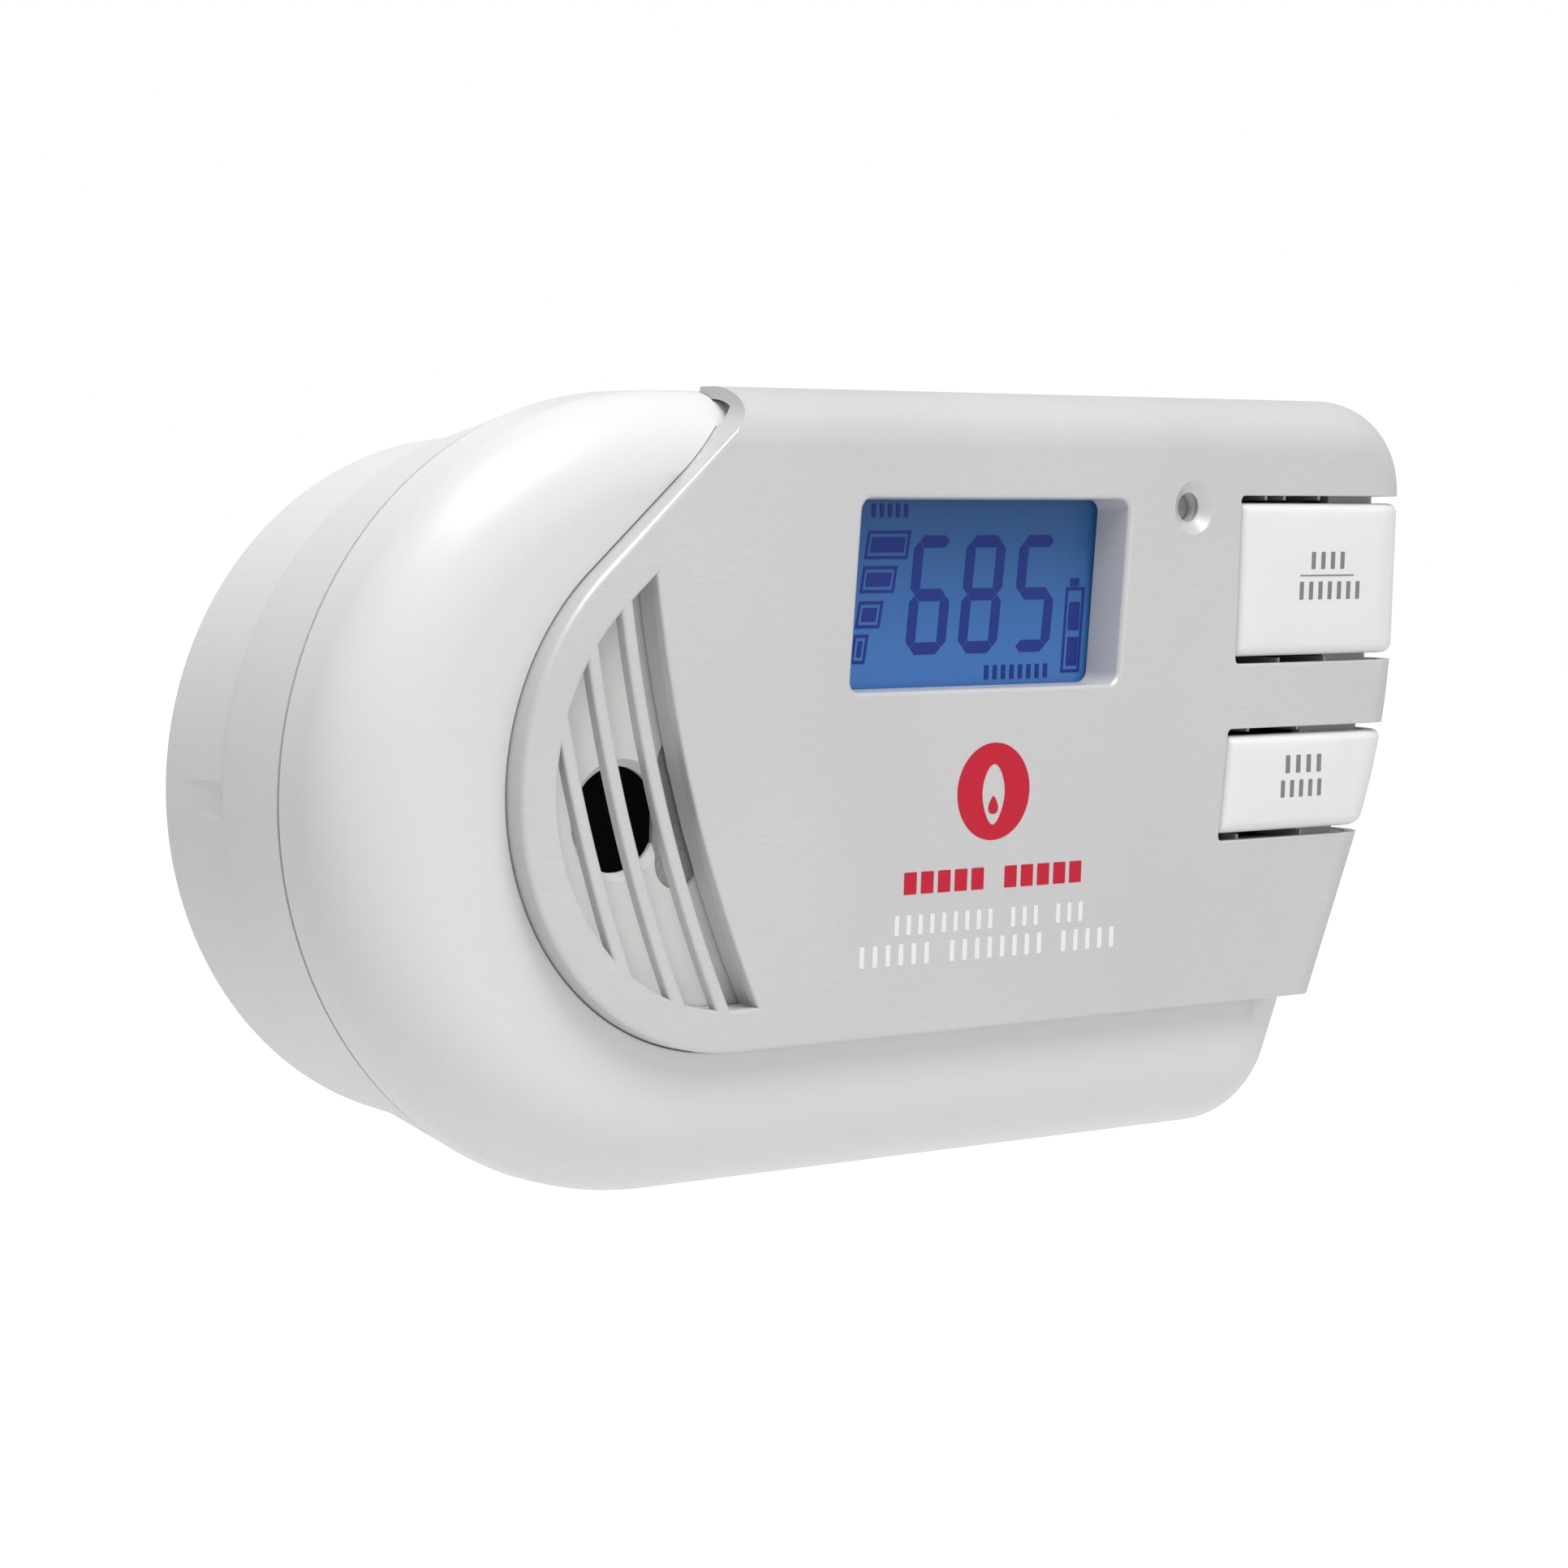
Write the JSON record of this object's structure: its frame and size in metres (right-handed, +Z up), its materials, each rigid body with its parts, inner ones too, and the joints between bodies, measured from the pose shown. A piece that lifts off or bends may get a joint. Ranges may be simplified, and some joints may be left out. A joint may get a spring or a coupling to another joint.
{
  "type": "carbon monoxide detector",
  "caption": "Plug-in carbon monoxide and gas detector: round-ended white case, brushed silver face with a sound grille and a blue display, two push buttons at the right, battery door and plug behind.",
  "frame": {"origin": "on the flat back of the rear case, which rests against the wall; Z = 0 at half its height", "axes": "+X to the right seen from the front, the face towards -Y, +Y into the wall, +Z up"},
  "size_m": [0.1817, 0.0717, 0.1021],
  "materials": {
    "white_shell": "satin white ABS",
    "silver_plate": "brushed silver film",
    "white_button": "satin white ABS",
    "display_blue": "blue negative display",
    "clear_plastic": "clear moulded",
    "white_inner": "matt white",
    "grey_rubber": "matt",
    "grey_pad": "felt",
    "board_green": "solder mask",
    "black_part": "moulded black",
    "grey_part": "moulded grey",
    "blue_part": "dipped",
    "bright_steel": "plated",
    "core_steel": "laminated",
    "copper_wire": "enamelled winding",
    "brass": "plated",
    "rear_white": "satin white ABS",
    "battery_wrap": "printed wrap, plain",
    "label_paper": "plain label"
  },
  "bodies": {
    "case": {"front_shell": "white_shell", "face_plate": "silver_plate", "lcd_glass": "display_blue", "lcd_light_guide": "clear_plastic", "lcd_frame": "white_inner", "contact_strip": "grey_rubber", "horn_baffle": "white_inner", "gas_filter": "grey_pad", "main_board": "board_green", "controller_chip": "black_part", "link_header": "black_part", "status_led": "clear_plastic", "light_pipe": "clear_plastic", "test_switch_body": "black_part", "peak_switch_body": "black_part", "sensor_board": "board_green", "co_sensor": "bright_steel", "gas_sensor": "bright_steel", "horn_cup": "black_part", "piezo_disc": "brass", "piezo_seat": "grey_rubber", "power_board": "board_green", "transformer_core": "core_steel", "transformer_winding": "copper_wire", "filter_capacitor_1": "black_part", "filter_capacitor_2": "black_part", "varistor": "blue_part", "fuse": "grey_part", "rear_case": "rear_white", "battery": "battery_wrap", "battery_contact_plate": "black_part", "battery_terminal_plus": "bright_steel", "battery_terminal_minus": "bright_steel", "blade_line": "brass", "blade_neutral": "brass", "plug_base": "black_part", "rating_label": "label_paper", "case_screw_1": "bright_steel", "board_screw_1": "bright_steel", "case_screw_2": "bright_steel", "board_screw_2": "bright_steel", "case_screw_3": "bright_steel", "board_screw_3": "bright_steel", "case_screw_4": "bright_steel", "board_screw_4": "bright_steel"},
    "test_button": {"test_button": "white_button"},
    "peak_button": {"peak_button": "white_button"},
    "test_plunger": {"test_switch_plunger": "grey_part"},
    "peak_plunger": {"peak_switch_plunger": "grey_part"},
    "door": {"battery_door": "rear_white"}
  },
  "joints": [
    {"name": "test_press", "type": "slide", "parent": "case", "child": "test_button", "axis": [0, 1, 0], "range_m": [0, 0.0008], "stiffness_N_per_m": 700},
    {"name": "peak_press", "type": "slide", "parent": "case", "child": "peak_button", "axis": [0, 1, 0], "range_m": [0, 0.0008], "stiffness_N_per_m": 700},
    {"name": "test_plunger_press", "type": "slide", "parent": "case", "child": "test_plunger", "axis": [0, 1, 0], "range_m": [0, 0.0008]},
    {"name": "peak_plunger_press", "type": "slide", "parent": "case", "child": "peak_plunger", "axis": [0, 1, 0], "range_m": [0, 0.0008]},
    {"name": "door_hinge", "type": "hinge", "parent": "case", "child": "door", "pos_m": [-0.0214, -0.0014, 0], "axis": [0, 0, -1], "range_deg": [0, 110]}
  ],
  "couplings": [
    {"joint": "test_plunger_press", "follows": "test_press", "ratio": 1},
    {"joint": "peak_plunger_press", "follows": "peak_press", "ratio": 1}
  ]
}
